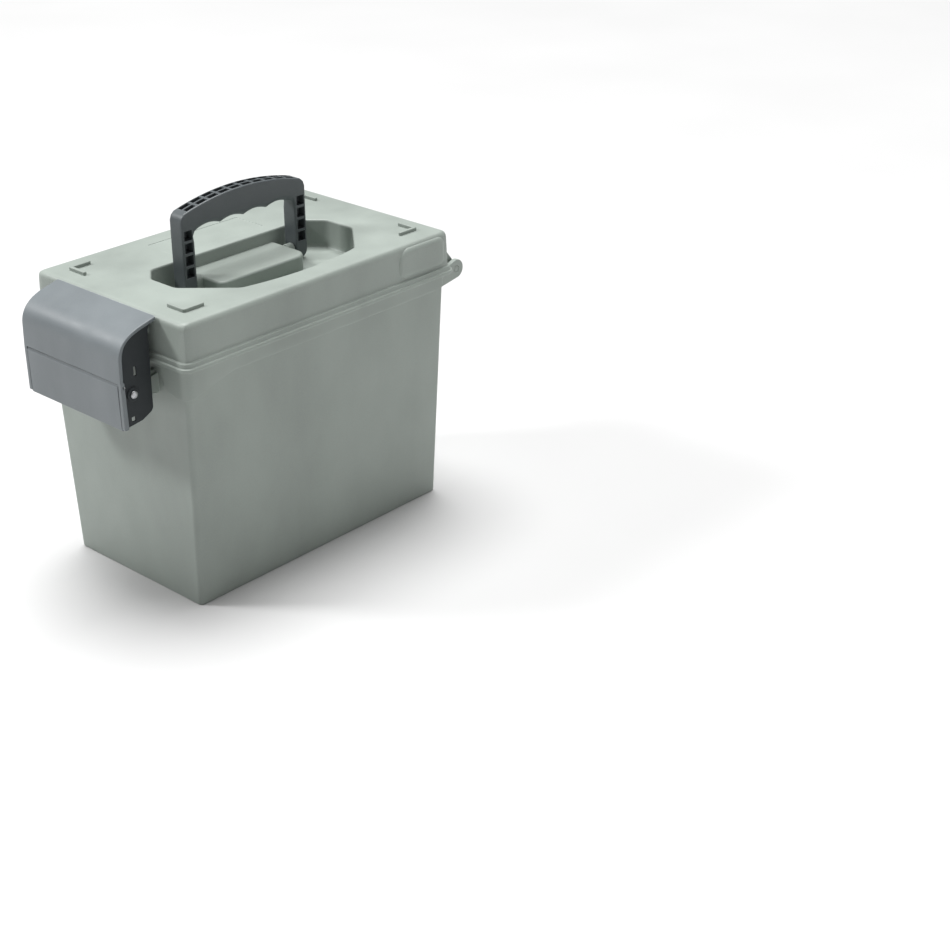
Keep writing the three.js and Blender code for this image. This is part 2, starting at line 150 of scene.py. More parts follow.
def rectangle(x, y, r, steps=8):
    """A rounded rectangle of half sizes x and y, counter-clockwise."""
    return rounded([(-x, -y, r), (x, -y, r), (x, y, r), (-x, y, r)], steps)


def area(outline):
    total = 0
    for (a, b), (c, d) in zip(outline, outline[1:] + outline[:1]):
        total += a * d - c * b
    return total / 2


def inset(outline, distance):
    """Moves each point inwards by distance, a number or a list with one for each point."""
    count = len(outline)
    sense = 1 if area(outline) > 0 else -1
    moved = []
    for i, (u, v) in enumerate(outline):
        before = Vector(outline[i]) - Vector(outline[i - 1])
        after = Vector(outline[(i + 1) % count]) - Vector(outline[i])
        if before.length < 1e-6:
            before = after.copy()
        if after.length < 1e-6:
            after = before.copy()
        before.normalize()
        after.normalize()
        normal = Vector((-(before.y + after.y), before.x + after.x)) * sense
        if normal.length < 1e-6:
            normal = Vector((-before.y, before.x)) * sense
        normal.normalize()
        edge = Vector((-before.y, before.x)) * sense
        mitre = 1 / max(normal.dot(edge), 0.5)
        by = distance[i] if isinstance(distance, list) else distance
        moved.append((u + normal.x * by * mitre, v + normal.y * by * mitre))
    return moved


def resample(outline, count):
    """The same closed outline with count points at even distances."""
    points = [Vector(p) for p in outline]
    lengths = [(points[(i + 1) % len(points)] - p).length for i, p in enumerate(points)]
    whole = sum(lengths)
    result = []
    index, walked = 0, 0.0
    for k in range(count):
        target = whole * k / count
        while walked + lengths[index] < target:
            walked += lengths[index]
            index += 1
        share = (target - walked) / max(lengths[index], 1e-9)
        result.append(tuple(points[index].lerp(points[(index + 1) % len(points)], share)))
    return result


def arc(centre, radius, start, stop, steps):
    """Points on an arc, angles in degrees."""
    points = []
    for k in range(steps + 1):
        angle = math.radians(start + (stop - start) * k / steps)
        points.append((centre[0] + radius * math.cos(angle), centre[1] + radius * math.sin(angle)))
    return points


# ---------------------------------------------------------------- meshes
AXES = {
    "X": lambda u, v, t: (t, u, v),
    "Y": lambda u, v, t: (u, t, v),
    "Z": lambda u, v, t: (u, v, t),
}


def mesh_piece(name, points, faces):
    mesh = bpy.data.meshes.new(name)
    mesh.from_pydata([place(*p) for p in points], [], faces)
    work = bmesh.new()
    work.from_mesh(mesh)
    bmesh.ops.remove_doubles(work, verts=work.verts, dist=1e-6)
    bmesh.ops.recalc_face_normals(work, faces=work.faces)
    work.to_mesh(mesh)
    work.free()
    piece = bpy.data.objects.new(name, mesh)
    bpy.context.scene.collection.objects.link(piece)
    return piece


def loft(name, rings, closed=False):
    """Quads between rings of equal point counts. An open stack gets a flat face at each end."""
    count = len(rings[0])
    points = [p for ring in rings for p in ring]
    faces = []
    pairs = len(rings) if closed else len(rings) - 1
    for level in range(pairs):
        here = level * count
        above = (level + 1) % len(rings) * count
        for i in range(count):
            j = (i + 1) % count
            faces.append((here + i, here + j, above + j, above + i))
    if not closed:
        faces.append(tuple(range(count)))
        faces.append(tuple(range(len(points) - count, len(points))))
    return mesh_piece(name, points, faces)


def slab(outline, low, high, axis, edge=0.6, steps=3):
    """A plate with that outline between low and high along axis, with rounded rims."""
    radii = edge if isinstance(edge, list) else [edge] * len(outline)
    largest = max(radii)
    depths = [largest * (1 - math.cos(math.pi / 2 * k / steps)) for k in range(steps + 1)]

    def level(depth):
        moves = []
        for r in radii:
            left = max(r - depth, 0)
            moves.append(r - math.sqrt(max(r * r - left * left, 0)))
        return inset(outline, moves)

    to_space = AXES[axis]
    rings = []
    for depth in depths:
        rings.append([to_space(u, v, low + depth) for u, v in level(depth)])
    for depth in reversed(depths):
        rings.append([to_space(u, v, high - depth) for u, v in level(depth)])
    return loft("slab", rings)


def turned(profile, x, y, z, axis="Y", sides=32):
    """A lathe shape from pairs of radius and distance along axis, with a flat face at each end."""
    to_space = {
        "X": lambda r, c, s, t: (x + t, y + r * c, z + r * s),
        "Y": lambda r, c, s, t: (x + r * c, y + t, z + r * s),
        "Z": lambda r, c, s, t: (x + r * c, y + r * s, z + t),
    }[axis]
    rings = []
    for radius, along in profile:
        ring = []
        for k in range(sides):
            angle = 2 * math.pi * k / sides
            ring.append(to_space(radius, math.cos(angle), math.sin(angle), along))
        rings.append(ring)
    return loft("turned", rings)


def bore(radius, low, high, x, z, past=1, sides=32):
    """A round tool along Y at x and z, which reaches past both faces of a plate from low to high."""
    return turned([(radius, low - past), (radius, high + past)], x, 0, z, sides=sides)


def pin_profile(radius, low, high, bevel=0.4):
    """The side of a round pin with rounded ends."""
    return [
        (radius - bevel, low), (radius - bevel * 0.3, low + bevel * 0.3), (radius, low + bevel),
        (radius, high - bevel), (radius - bevel * 0.3, high - bevel * 0.3), (radius - bevel, high),
    ]


def merged(name, pieces):
    """One object that holds the meshes of all the pieces."""
    work = bmesh.new()
    for piece in pieces:
        work.from_mesh(piece.data)
    mesh = bpy.data.meshes.new(name)
    work.to_mesh(mesh)
    work.free()
    for piece in pieces:
        bpy.data.objects.remove(piece)
    whole = bpy.data.objects.new(name, mesh)
    bpy.context.scene.collection.objects.link(whole)
    return whole


def carve(base, *tools):
    """Cuts the tools out of base."""
    tool = merged("tools", tools)
    modifier = base.modifiers.new("carve", "BOOLEAN")
    modifier.object = tool
    modifier.operation = "DIFFERENCE"
    modifier.solver = "EXACT"
    depsgraph = bpy.context.evaluated_depsgraph_get()
    mesh = bpy.data.meshes.new_from_object(base.evaluated_get(depsgraph))
    base.modifiers.clear()
    base.data = mesh
    bpy.data.objects.remove(tool)
    return base


def brick(x0, x1, y0, y1, z0, z1, edge=0.3):
    """A block with rounded edges, used as a tool for pockets."""
    outline = rounded([(x0, y0, edge), (x1, y0, edge), (x1, y1, edge), (x0, y1, edge)], 2)
    return slab(outline, z0, z1, "Z", edge, 2)


def span(side, low, high):
    """The stretch from low to high, mirrored to the negative side where side is -1."""
    return (-high, -low) if side < 0 else (low, high)


SHARP = math.radians(38)    # edges that turn more than this are shaded sharp


def dress(piece, name, body, nodes, material):
    """Names a piece, sets its shading and material, ties it to its body, and hides the CAD nodes that it
    stands in for.
    """
    piece.name = name
    piece.data.name = name
    piece.data.materials.clear()
    piece.data.materials.append(material)
    piece.data.polygons.foreach_set("use_smooth", [True] * len(piece.data.polygons))
    piece.data.set_sharp_from_angle(angle=SHARP)
    weighted = piece.modifiers.new("weighted", "WEIGHTED_NORMAL")
    weighted.keep_sharp = True
    weighted.weight = 60
    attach(piece, body)
    if nodes:
        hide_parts(*nodes)
    return piece


# ---------------------------------------------------------------- materials
class Graph:
    """Adds nodes and links to one material's tree."""

    def __init__(self, name):
        self.material = bpy.data.materials.new(name)
        self.material.use_nodes = True
        self.tree = self.material.node_tree
        self.shader = self.tree.nodes["Principled BSDF"]
        self.coordinates = self.add("ShaderNodeTexCoord").outputs["Object"]

    def add(self, kind, **values):
        node = self.tree.nodes.new(kind)
        for key, value in values.items():
            setattr(node, key, value)
        return node

    def link(self, source, target):
        self.tree.links.new(source, target)

    def noise(self, scale, detail=3.0, roughness=0.5, stretch=(1, 1, 1)):
        mapping = self.add("ShaderNodeMapping")
        mapping.inputs["Scale"].default_value = stretch
        self.link(self.coordinates, mapping.inputs["Vector"])
        noise = self.add("ShaderNodeTexNoise")
        noise.inputs["Scale"].default_value = scale
        noise.inputs["Detail"].default_value = detail
        noise.inputs["Roughness"].default_value = roughness
        self.link(mapping.outputs["Vector"], noise.inputs["Vector"])
        return noise.outputs["Fac"]

    def ramp(self, factor, stops):
        ramp = self.add("ShaderNodeValToRGB")
        elements = ramp.color_ramp.elements
        while len(elements) < len(stops):
            elements.new(0.5)
        for element, (position, colour) in zip(elements, stops):
            element.position = position
            element.color = (*colour, 1)
        self.link(factor, ramp.inputs["Fac"])
        return ramp.outputs["Color"]

    def mix(self, factor, first, second, blend="MIX"):
        """Blends two colours. The factor is a number or a socket."""
        mix = self.add("ShaderNodeMix", data_type="RGBA", blend_type=blend)
        if isinstance(factor, (int, float)):
            mix.inputs["Factor"].default_value = factor
        else:
            self.link(factor, mix.inputs["Factor"])
        self.link(first, mix.inputs["A"])
        self.link(second, mix.inputs["B"])
        return mix.outputs["Result"]

    def range(self, value, low, high, to_low, to_high):
        node = self.add("ShaderNodeMapRange")
        node.inputs["From Min"].default_value = low
        node.inputs["From Max"].default_value = high
        node.inputs["To Min"].default_value = to_low
        node.inputs["To Max"].default_value = to_high
        self.link(value, node.inputs["Value"])
        return node.outputs["Result"]

    def edge_angle(self, radius):
        """How far the surface turns within a radius, in metres: 0 on flat faces, more on edges."""
        bevel = self.add("ShaderNodeBevel", samples=4)
        bevel.inputs["Radius"].default_value = radius
        geometry = self.add("ShaderNodeNewGeometry")
        dot = self.add("ShaderNodeVectorMath", operation="DOT_PRODUCT")
        self.link(bevel.outputs["Normal"], dot.inputs[0])
        self.link(geometry.outputs["Normal"], dot.inputs[1])
        turn = self.add("ShaderNodeMath", operation="SUBTRACT")
        turn.inputs[0].default_value = 1
        self.link(dot.outputs["Value"], turn.inputs[1])
        return turn.outputs["Value"]

    def bump(self, height, strength, distance, below=None):
        node = self.add("ShaderNodeBump")
        node.inputs["Strength"].default_value = strength
        node.inputs["Distance"].default_value = distance
        self.link(height, node.inputs["Height"])
        if below is not None:
            self.link(below, node.inputs["Normal"])
        return node.outputs["Normal"]


def scaled(colour, by):
    return tuple(min(c * by, 1) for c in colour)


def moulded(name, colour, wear_and_highlight_colour, roughness=0.46, grain=0.16, swirl=0.1, gloss=0.5):
    """Injection-moulded plastic: flow clouding, fine moulded grain, paler edges that are partly rubbed wear
    and partly a painted highlight, scuffed sheen.
    """
    graph = Graph(name)
    cloud = graph.noise(scale=9, detail=4, roughness=0.55, stretch=(1, 1, 0.45))
    body = graph.ramp(cloud, [(0.3, scaled(colour, 1 - swirl)), (0.7, scaled(colour, 1 + swirl))])
    speck = graph.noise(scale=1400, detail=2, roughness=0.6)
    fleck = graph.ramp(speck, [(0.35, (0.93, 0.93, 0.93)), (0.65, (1, 1, 1))])
    body = graph.mix(1.0, body, fleck, "MULTIPLY")
    # Paler edges: partly rubbed wear and partly a painted highlight along every turned edge, made strong by
    # the wide patch range.
    edge_wear_and_highlight = graph.range(graph.edge_angle(radius=0.0009), 0.04, 0.3, 0, 1)
    patch = graph.range(graph.noise(scale=60, detail=4, roughness=0.6), 0.4, 0.62, 0.3, 0.95)
    wear_and_highlight_mask = graph.add("ShaderNodeMath", operation="MULTIPLY")
    graph.link(edge_wear_and_highlight, wear_and_highlight_mask.inputs[0])
    graph.link(patch, wear_and_highlight_mask.inputs[1])
    pale = graph.ramp(cloud, [(0, wear_and_highlight_colour), (1, scaled(wear_and_highlight_colour, 1.08))])
    body = graph.mix(wear_and_highlight_mask.outputs["Value"], body, pale)
    graph.link(body, graph.shader.inputs["Base Color"])
    scuff = graph.noise(scale=38, detail=6, roughness=0.62, stretch=(1, 1, 0.6))
    sheen = graph.range(scuff, 0.3, 0.7, roughness - 0.07, roughness + 0.1)
    graph.link(sheen, graph.shader.inputs["Roughness"])
    waves = graph.noise(scale=34, detail=2, roughness=0.4)
    ripple = graph.bump(waves, strength=0.05, distance=0.002)
    texture = graph.bump(speck, strength=grain, distance=0.0003, below=ripple)
    graph.link(texture, graph.shader.inputs["Normal"])
    graph.shader.inputs["Specular IOR Level"].default_value = gloss
    return graph.material


def metal(name, dark, bright, roughness):
    """Metal with fine turning lines, tarnish in clouds and small scratches."""
    graph = Graph(name)
    tarnish = graph.noise(scale=70, detail=5, roughness=0.6)
    colour = graph.ramp(tarnish, [(0.32, dark), (0.62, bright)])
    graph.link(colour, graph.shader.inputs["Base Color"])
    scratch = graph.noise(scale=900, detail=3, roughness=0.7, stretch=(1, 1, 6))
    spread = graph.range(scratch, 0.3, 0.7, roughness - 0.06, roughness + 0.12)
    graph.link(spread, graph.shader.inputs["Roughness"])
    graph.link(graph.bump(scratch, strength=0.12, distance=0.0002), graph.shader.inputs["Normal"])
    graph.shader.inputs["Metallic"].default_value = 1.0
    return graph.material


def rubber(name, colour):
    """Moulded rubber: matt, with talc-like bloom and fine pitting."""
    graph = Graph(name)
    bloom = graph.noise(scale=160, detail=5, roughness=0.65)
    tint = graph.ramp(bloom, [(0.4, colour), (0.75, scaled(colour, 2.4))])
    graph.link(tint, graph.shader.inputs["Base Color"])
    graph.link(graph.range(bloom, 0.3, 0.7, 0.6, 0.85), graph.shader.inputs["Roughness"])
    pits = graph.bump(graph.noise(scale=1800, detail=2), strength=0.2, distance=0.0002)
    graph.link(pits, graph.shader.inputs["Normal"])
    return graph.material


# The second colour of each moulded plastic is its edge colour: partly rubbed wear, partly painted
# highlight.
SAGE = moulded("sage_plastic", (0.312, 0.352, 0.322), (0.52, 0.575, 0.54), swirl=0.14)
SLATE = moulded("slate_plastic", (0.166, 0.187, 0.198), (0.3, 0.33, 0.345), roughness=0.44)
# The cheeks' material is partly a darker slate than the cover's and mostly painted shade: a near-black copy
# of the slate plastic, with weak specular, standing in for the shadow on the cheeks.
SLATE_DARK_PAINTED_SHADE = moulded(
    "slate_dark_plastic_painted_shade", (0.036, 0.041, 0.044), (0.1, 0.11, 0.115), roughness=0.5, gloss=0.15,
)
CHARCOAL = moulded("charcoal_plastic", (0.085, 0.098, 0.104), (0.2, 0.21, 0.22), roughness=0.42, grain=0.22)
TEAL = moulded("teal_plastic", (0.006, 0.062, 0.056), (0.05, 0.2, 0.18), roughness=0.34, grain=0.1)
HULL = moulded("shell_plastic", (0.36, 0.03, 0.02), (0.5, 0.12, 0.08), roughness=0.35, grain=0.1)
BRASS = metal("shell_brass", (0.6, 0.42, 0.18), (0.78, 0.62, 0.34), roughness=0.38)
STEEL = metal("pin_steel", (0.34, 0.35, 0.36), (0.6, 0.61, 0.62), roughness=0.38)
RUBBER = rubber("seal_rubber", (0.012, 0.012, 0.013))


# ---------------------------------------------------------------- bucket
def ring_at(size, z, grow=0.0):
    """A level of the bucket: its rounded rectangle at z, grown or, where grow is negative, shrunk."""
    x, y, r = size
    return [(u, v, z) for u, v in rectangle(x + grow, y + grow, max(r + grow, 0.6), 8)]


def between(low, high, share):
    return tuple(a + (b - a) * share for a, b in zip(low, high))


def bucket_shell():
    """Rings from the base's recess, out round the foot, up the wall, over the rim and down inside."""
    wall_steps = 8
    foot_top, cavity_low = 1.3, 10
    wall_height = NECK_TOP - 0.6 - foot_top
    rings = [
        ring_at(BASE, 4.5, grow=-FOOT_WIDTH - 0.8),
        ring_at(BASE, 4.1, grow=-FOOT_WIDTH - 0.1),
        ring_at(BASE, 0.5, grow=-FOOT_WIDTH),
        ring_at(BASE, 0, grow=-FOOT_WIDTH + 0.5),
        ring_at(BASE, 0, grow=-1.4),
        ring_at(BASE, 0.35, grow=-0.45),
        ring_at(BASE, foot_top),
    ]
    for k in range(1, wall_steps + 1):
        share = k / wall_steps
        rings.append(ring_at(between(BASE, NECK, share), foot_top + wall_height * share))
    rings += [
        ring_at(RIM, NECK_TOP - 0.2, grow=-1.6),
        ring_at(RIM, NECK_TOP, grow=-0.6),
        ring_at(RIM, NECK_TOP + 0.7),
        ring_at(RIM, RIM_TOP - 1.2),
        ring_at(RIM, RIM_TOP - 0.35, grow=-0.35),
        ring_at(RIM, RIM_TOP, grow=-1.2),
        ring_at(NECK, RIM_TOP, grow=-WALL + 0.7),
        ring_at(NECK, RIM_TOP - 0.25, grow=-WALL + 0.2),
        ring_at(NECK, RIM_TOP - 0.9, grow=-WALL),
    ]
    for k in range(1, wall_steps + 1):
        share = 1 - k / wall_steps
        height = cavity_low + (NECK_TOP - cavity_low) * share
        rings.append(ring_at(between(BASE, NECK, share), height, grow=-WALL))
    rings += [ring_at(BASE, 8.4, grow=-WALL - 0.5), ring_at(BASE, 7.5, grow=-WALL - 2.4)]
    return loft("bucket_shell", rings)


def latch_ear(side):
    """An ear with a bore for the latch pin, and the low web beside its foot."""
    low, high = span(side, *LATCH_EAR)
    tip = arc((LATCH.x, LATCH.z), 6.8, 95, 265, 16)
    ear = slab([(-144, 184), (-144, 205)] + tip, low, high, "Y", 0.7)
    foot = rounded([(-144, 186, 0), (-144, 203, 0), (-158, 200, 1), (-158, 190, 1)], 3)
    web = slab(foot, *span(side, LATCH_EAR[1], LATCH_EAR[1] + 2.4), "Y", 0.5)
    return [carve(ear, bore(2.8, low, high, LATCH.x, LATCH.z)), web]


def hinge_ear(side, start):
    """An ear that holds one end of a hinge rod."""
    low, high = span(side, start, start + EAR_THICK)
    tip = arc((HINGE.x, HINGE.z), 8.5, -72, 100, 20)
    ear = slab([(144, 198)] + tip + [(144, 212)], low, high, "Y", 0.7)
    return carve(ear, bore(HINGE_ROD_R + GAP, low, high, HINGE.x, HINGE.z))


def build_bucket():
    pieces = [bucket_shell()]
    for side in (-1, 1):
        pieces += latch_ear(side)
        for start in HINGE_EARS:
            pieces.append(hinge_ear(side, start))
    bucket = merged("bucket_body", pieces)
    dress(bucket, "bucket_body", "bucket", ["bucket"], SAGE)
    for side, name in ((-1, "near"), (1, "far")):
        low, high = span(side, HINGE_EARS[0], HINGE_EARS[1] + EAR_THICK)
        rod = turned(pin_profile(HINGE_ROD_R, low, high), HINGE.x, 0, HINGE.z)
        dress(rod, f"hinge_rod_{name}_turned", "bucket", [f"hinge_rod_{name}"], SAGE)
        tip, head = LATCH_EAR[0] - 1, LATCH_HALF + 0.4
        profile = [
            (2.1, tip), (2.5, tip + 0.5), (2.5, head), (3.0, head), (3.2, head + 0.2),
            (3.1, head + 0.6), (2.6, head + 1.0), (1.6, head + 1.3), (0.4, head + 1.4),
        ]
        pin = turned([(r, side * t) for r, t in profile], LATCH.x, 0, LATCH.z, sides=28)
        dress(pin, f"latch_pin_{name}_turned", "bucket", [f"latch_pin_{name}"], STEEL)


# ---------------------------------------------------------------- lid
LID_POINTS = 240


def lid_ring(size, z, grow=0.0):
    """A level of the lid, with points that pair with those of recess_ring."""
    x, y, r = size
    outline = rectangle(x + grow, y + grow, max(r + grow, 0.8), 14)
    return [(u, v, z) for u, v in from_angle(resample(outline, LID_POINTS))]


def from_angle(outline, centre=(0, 0)):
    """The outline turned round so that it starts at its point nearest to the direction -X, -Y."""
    def distance(i):
        u, v = outline[i]
        angle = math.atan2(v - centre[1], u - centre[0])
        return abs(angle + math.pi * 0.82)
    first = min(range(len(outline)), key=distance)
    return outline[first:] + outline[:first]


def recess_outline(grow=0.0):
    """The handle's recess: a chord beside the pivots, angled ends, and a shallow bow towards -Y."""
    bow = []
    for k in range(1, 24):
        share = k / 24
        bow.append((-63 + 126 * share, -62 - 28 * share * (1 - share), 0))
    ends = [(98, -24, 9), (98, 6, 9), (84, 23, 7), (-84, 23, 7), (-98, 6, 9), (-98, -24, 9)]
    outline = rounded([(-63, -62, 10), *bow, (63, -62, 10), *ends], 8)
    return from_angle(resample(inset(outline, -grow), LID_POINTS), (0, -20))


def recess_ring(z, grow):
    return [(u, v, z) for u, v in recess_outline(grow)]


def lid_shell():
    """Rings from the recess's floor, up and over the top, down to the flange, and back inside."""
    rings = [
        recess_ring(RECESS_FLOOR, -3.0),
        recess_ring(RECESS_FLOOR + 0.3, -1.6),
        recess_ring(RECESS_FLOOR + 1.5, -0.7),
        recess_ring(RECESS_FLOOR + 4, -0.4),
        recess_ring(LID_TOP - 2.2, 0.0),
        recess_ring(LID_TOP - 0.9, 0.35),
        recess_ring(LID_TOP - 0.25, 1.0),
        recess_ring(LID_TOP, 2.2),
        lid_ring(LID_SHOULDER, LID_TOP, grow=-5.0),
        lid_ring(LID_SHOULDER, LID_TOP - 0.25, grow=-3.4),
        lid_ring(LID_SHOULDER, LID_TOP - 0.9, grow=-2.1),
        lid_ring(LID_SHOULDER, LID_TOP - 2.0, grow=-1.1),
        lid_ring(LID_SHOULDER, LID_TOP - 3.5, grow=-0.4),
        lid_ring(LID_SHOULDER, LID_TOP - 5.5),
        lid_ring(LID_FOOT, STEP_TOP + 1.4, grow=-0.1),
        lid_ring(LID_FOOT, STEP_TOP + 0.3, grow=0.3),
        lid_ring(LID_FOOT, STEP_TOP, grow=1.2),
        lid_ring(FLANGE_STEP, STEP_TOP - 0.3, grow=-0.3),
        lid_ring(FLANGE_STEP, STEP_TOP - 1.1),
        lid_ring(FLANGE_STEP, FLANGE_TOP + 0.8),
        lid_ring(FLANGE_STEP, FLANGE_TOP + 0.2, grow=0.3),
        lid_ring(FLANGE, FLANGE_TOP, grow=-0.8),
        lid_ring(FLANGE, FLANGE_TOP - 0.4, grow=-0.2),
        lid_ring(FLANGE, FLANGE_TOP - 1.2),
        lid_ring(FLANGE, FLANGE_LOW + 0.9),
        lid_ring(FLANGE, FLANGE_LOW + 0.2, grow=-0.3),
        lid_ring(FLANGE, FLANGE_LOW, grow=-1.0),
        lid_ring(LID_FOOT, FLANGE_LOW, grow=-LID_WALL + 0.4),
        lid_ring(LID_FOOT, FLANGE_LOW + 0.3, grow=-LID_WALL),
        lid_ring(LID_FOOT, LEDGE_LOW, grow=-LID_WALL),
        lid_ring(LID_FOOT, LEDGE_LOW, grow=-LEDGE_WIDTH + 0.3),
        lid_ring(LID_FOOT, LEDGE_LOW + 0.3, grow=-LEDGE_WIDTH),
        lid_ring(LID_FOOT, LEDGE_LOW + 3.1, grow=-LEDGE_WIDTH),
        lid_ring(LID_FOOT, LEDGE_LOW + 3.4, grow=-LID_WALL - 0.3),
        lid_ring(LID_SHOULDER, LID_TOP - LID_WALL - 1.4, grow=-LID_WALL),
        lid_ring(LID_SHOULDER, LID_TOP - LID_WALL, grow=-LID_WALL - 1.5),
        recess_ring(LID_TOP - LID_WALL, LID_WALL + 1.0),
        recess_ring(LID_TOP - LID_WALL - 0.8, LID_WALL),
        recess_ring(RECESS_FLOOR - LID_WALL + 1.2, LID_WALL - 0.1),
        recess_ring(RECESS_FLOOR - LID_WALL, LID_WALL - 1.3),
    ]
    return loft("lid_shell", rings)


def skirt_depth(u, v):
    """How far down the skirt reaches at a point of its outline, from 0 to 1 at the latch-end corner."""
    slope_start, slope_length = -104, 46
    end_x, corner_y = -149, 83
    if u < end_x:
        return 1 - 0.35 * max(corner_y - abs(v), 0) / 20
    return min(max((slope_start - u) / slope_length, 0), 1)


def skirt(side):
    """The band that hangs from the flange, deeper round the latch-end corner."""
    half_x, half_y, thick = 151, 95, 2.5
    latch_gap = LATCH_HALF + 2.6
    hinge_stop = 137
    scale_x, scale_y = (half_x - thick) / half_x, (half_y - thick) / half_y
    stretch = []
    for u, v in resample(rectangle(half_x, half_y, 7.5, 14), 480):
        beside_latch = u < -half_x + 1 and abs(v) < latch_gap
        if v * side > 0 and u <= hinge_stop and not beside_latch:
            stretch.append((u, v))
    stretch.sort(key=lambda p: p[0] + abs(p[1]))
    rings = []
    last = len(stretch) - 1
    top = FLANGE_LOW + 0.6
    for i, (u, v) in enumerate(stretch):
        end = min(i, last - i)
        lift = 3.2 * max(0, 1 - end / 3) ** 2
        low = SKIRT_LOW - SKIRT_CORNER_DROP * skirt_depth(u, v) + lift
        a, b = u * scale_x, v * scale_y
        section = [
            (0, top), (0, low + 0.7), (0.12, low + 0.2), (0.35, low), (0.65, low),
            (0.88, low + 0.2), (1, low + 0.7), (1, (low + top) / 2), (1, top),
        ]
        rings.append([(a + (u - a) * share, b + (v - b) * share, z) for share, z in section])
    return loft("skirt", rings)


def lid_arm(side, start):
    """A fin down the lid's end wall, with a C-shaped hook that snaps over the hinge rod."""
    low, high = span(side, start, start + EAR_THICK)
    top = [(146, 243)] + arc((157, 239.4), 3, 88, 8, 6) + [(160.8, 226)]
    hook = arc((HINGE.x, HINGE.z), 6, 40, -71, 14)
    mouth = arc((HINGE.x, HINGE.z), 3.15, -52, 232, 24)
    back = arc((HINGE.x, HINGE.z), 6, 251, 200, 6)
    return slab(top + hook + mouth + back + [(152, 224), (146, 224)], low, high, "Y", 0.5, 2)


def lug(sx, sy):
    """An L-shaped stacking lug on the lid's corner, with its outer corner at x and y."""
    x, y, reach, width = 130, 72, 21, 3.2
    corners = [
        (x, y, 2.5), (x - reach, y, 1.4), (x - reach, y - width, 1.4),
        (x - width, y - width, 0.8), (x - width, y - reach, 1.4), (x, y - reach, 1.4),
    ]
    outline = rounded([(u * sx, v * sy, r) for u, v, r in corners], 4)
    return slab(outline, LID_TOP - 0.8, LUG_TOP, "Z", 0.8)


def mound(outline, base, crest, axis, spread):
    """A raised patch with that outline at base, whose edge curves over to a flat crest within spread."""
    steps = 8
    rings = []
    for k in range(steps + 1):
        turn = math.pi / 2 * k / steps
        level = base + (crest - base) * math.sin(turn)
        moved = inset(outline, spread * (1 - math.cos(turn)))
        rings.append([AXES[axis](u, v, level) for u, v in moved])
    return loft("mound", rings)


def shoulder_pad(side):
    """A thicker patch of the lid's side wall beside the hinge, which fades into the top edge."""
    outline = rounded([(85, 222.8, 8), (142, 222.8, 7), (142, 249.2, 8), (85, 249.2, 24)], 14)
    return mound(outline, 90.6 * side, 93.8 * side, "Y", 5)


def handle_boss(side):
    """A boss between the platform and a handle leg, bored for the handle pin."""
    radius, foot = 4.8, RECESS_FLOOR - 0.8
    low, high = span(side, PLATFORM_HALF - 1, HANDLE_INNER - 0.6)
    dome = arc((PIVOT.y, PIVOT.z), radius, 0, 180, 18)
    block = slab(dome + [(PIVOT.y - radius, foot), (PIVOT.y + radius, foot)], low, high, "X", 0.6)
    ends = span(side, PLATFORM_HALF + 0.2, HANDLE_INNER + 0.5)
    hole = turned([(HANDLE_PIN_HOLE_R, t) for t in ends], 0, PIVOT.y, PIVOT.z, "X")
    return carve(block, hole)


def label_panel():
    """A tool for the shallow panel sunk into the lid's top."""
    half_x, half_y, middle_y, deep = 50, 18, 53, 0.4
    corners = [(-half_x, middle_y - half_y), (half_x, middle_y - half_y)]
    corners += [(half_x, middle_y + half_y), (-half_x, middle_y + half_y)]
    outline = rounded([(u, v, 2.5) for u, v in corners], 5)
    return slab(outline, LID_TOP - deep, LID_TOP + 2, "Z", 0.3)


def platform():
    """The island in the recess that the handle stands beside."""
    half = PLATFORM_HALF
    outline = rounded([(-half, -21, 7), (half, -21, 12), (half, 24, 3), (-half, 24, 3)], 6)
    return slab(outline, RECESS_FLOOR - 1, PLATFORM_TOP, "Z", 2.2, 4)


def catch_ridge():
    """The ridge on the latch end that the latch hooks over."""
    section = [(-146.8, 234, 0), (-152.3, 238.5, 0.6), (-152.3, 240.5, 0.6), (-146.8, 240.5, 0)]
    return slab(rounded(section, 3), -CATCH_HALF, CATCH_HALF, "Y", 0.8)


def build_lid():
    shell = carve(lid_shell(), label_panel())
    pieces = [shell, platform(), catch_ridge(), skirt(-1), skirt(1)]
    for side in (-1, 1):
        pieces += [shoulder_pad(side), handle_boss(side), lug(side, -1), lug(side, 1)]
        for start in HINGE_ARMS:
            pieces.append(lid_arm(side, start))
    lid = merged("lid_body", pieces)
    dress(lid, "lid_body", "lid", ["lid"], SAGE)
    for side, name in ((-1, "latch_end"), (1, "hinge_end")):
        low, high = span(side, PLATFORM_HALF + 0.6, HANDLE_HALF - 2)
        pin = turned(pin_profile(2.4, low, high), 0, PIVOT.y, PIVOT.z, "X", 24)
        dress(pin, f"handle_pin_{name}_turned", "lid", [f"handle_pin_{name}"], STEEL)


def build_seal():
    """An O-ring of oval section under the lid's ledge."""
    half_wide, half_high, sides = 1.38, 1.62, 12
    middle = SEAL_LOW + half_high + 0.04
    path = rectangle(143.9, 86.9, 6, 10)
    rings = []
    for k in range(sides):
        angle = 2 * math.pi * k / sides
        level = middle + half_high * math.sin(angle)
        rings.append([(u, v, level) for u, v in inset(path, -half_wide * math.cos(angle))])
    seal = loft("seal", rings, closed=True)
    dress(seal, "lid_seal_ring", "lid", ["lid_seal"], RUBBER)


# ---------------------------------------------------------------- latch
def bezier(p0, p1, p2, p3, steps):
    """Points on a cubic curve."""
    points = []
    for k in range(steps + 1):
        t = k / steps
        s = 1 - t
        weights = (s ** 3, 3 * s * s * t, 3 * s * t * t, t ** 3)
        points.append(tuple(
            sum(w * p[i] for w, p in zip(weights, (p0, p1, p2, p3))) for i in range(2)
        ))
    return points


